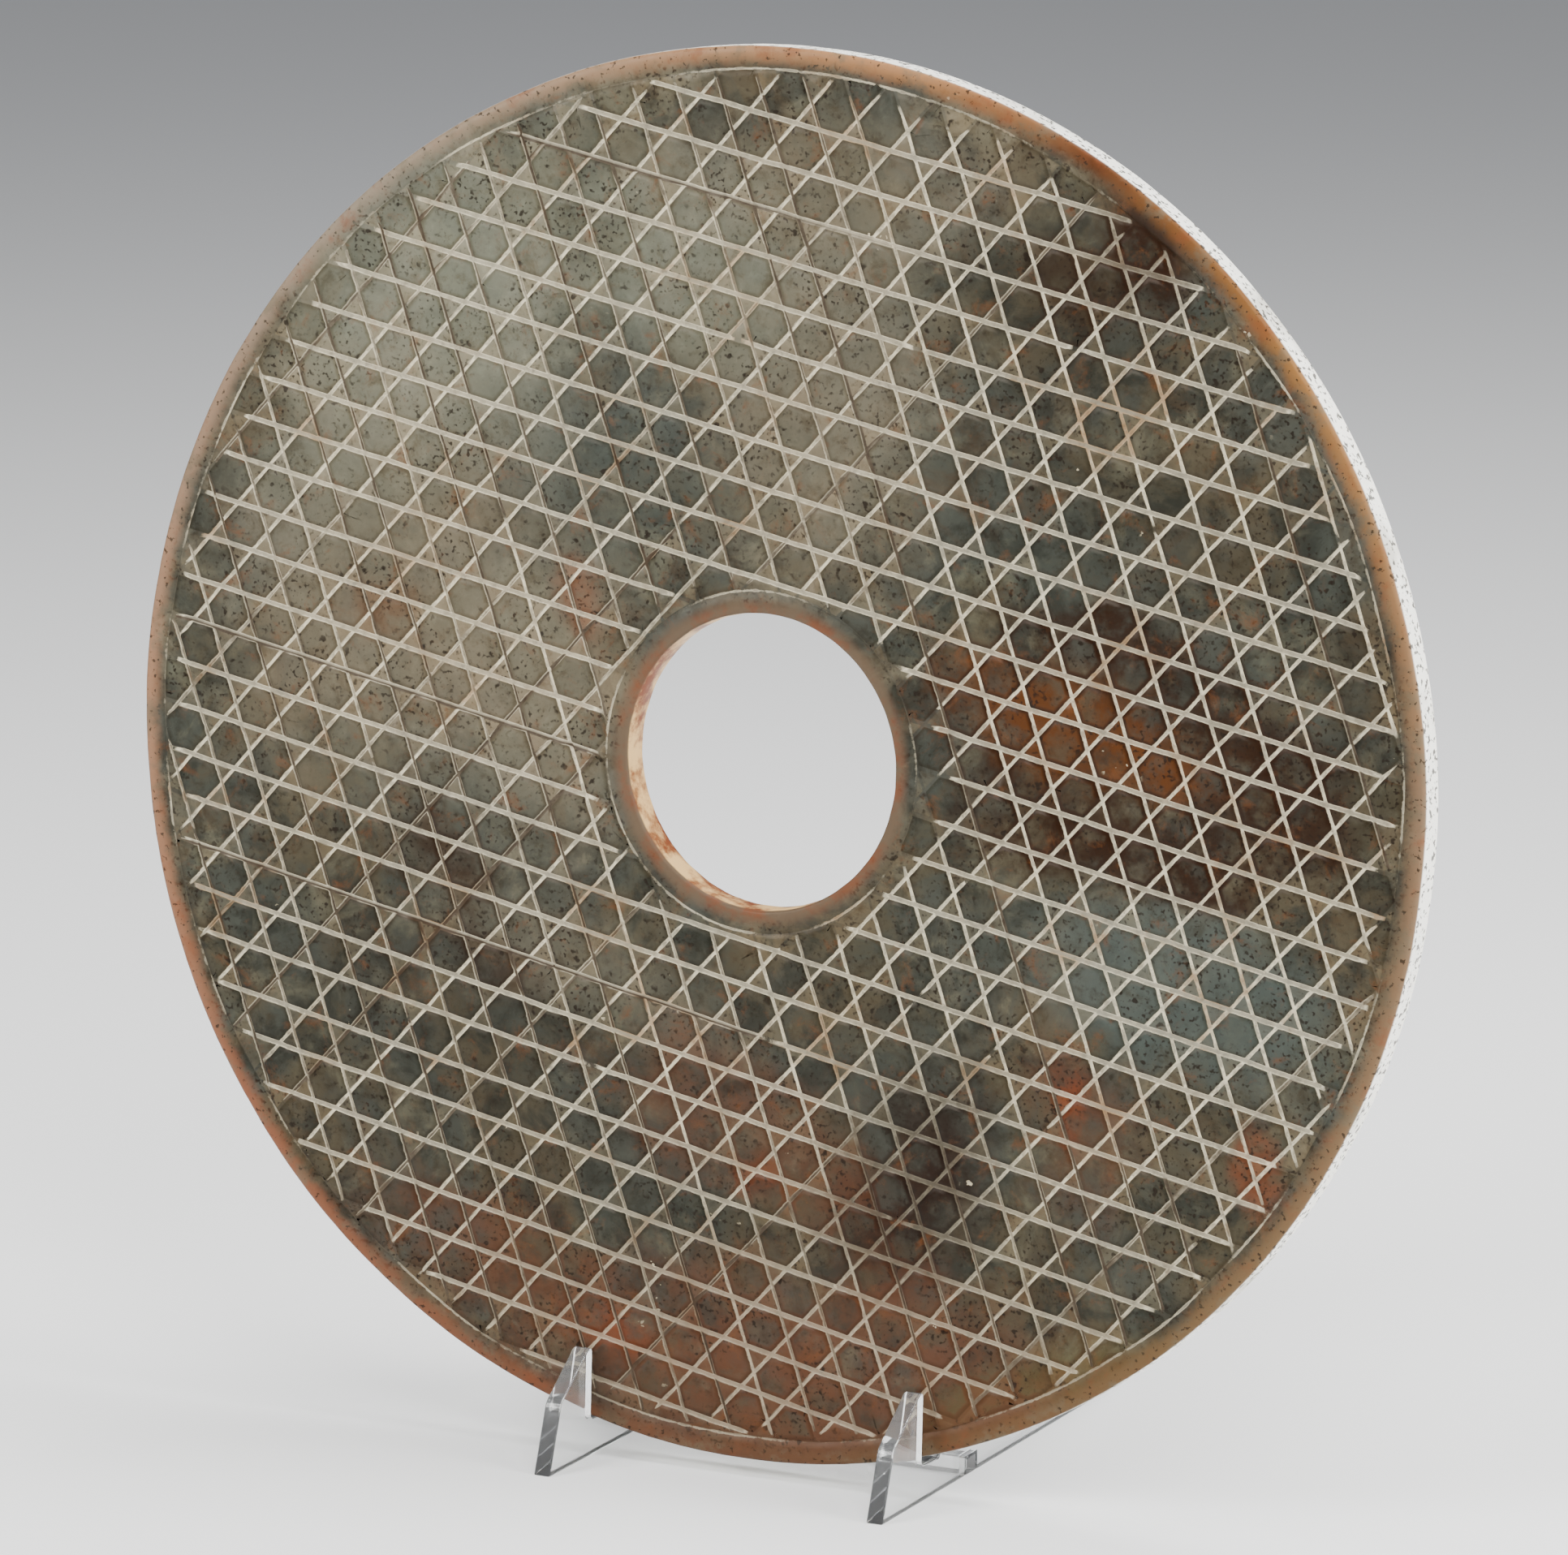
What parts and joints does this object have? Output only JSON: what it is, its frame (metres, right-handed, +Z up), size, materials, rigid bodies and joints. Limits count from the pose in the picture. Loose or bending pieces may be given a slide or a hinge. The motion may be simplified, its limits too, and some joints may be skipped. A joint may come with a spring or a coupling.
{
  "type": "jade bi disc on easel",
  "caption": "Round flat jade disc with a central hole, engraved all over with crossing grooves, leaning upright in a clear prong easel.",
  "frame": {"origin": "on the floor, under the middle of the whole object's bounding box", "axes": "+Z up; the engraved face looks to -Y and leans back a little; +X is the viewer's right"},
  "size_m": [0.261, 0.1032, 0.2638],
  "materials": {
    "jade": "polished mottled grey-green jade with brown staining and pale grooves",
    "acrylic": "clear polished acrylic"
  },
  "bodies": {
    "root": {"jade_disc": "jade", "easel_left_side": "acrylic", "easel_right_side": "acrylic", "easel_cross_bar": "acrylic"}
  },
  "joints": []
}
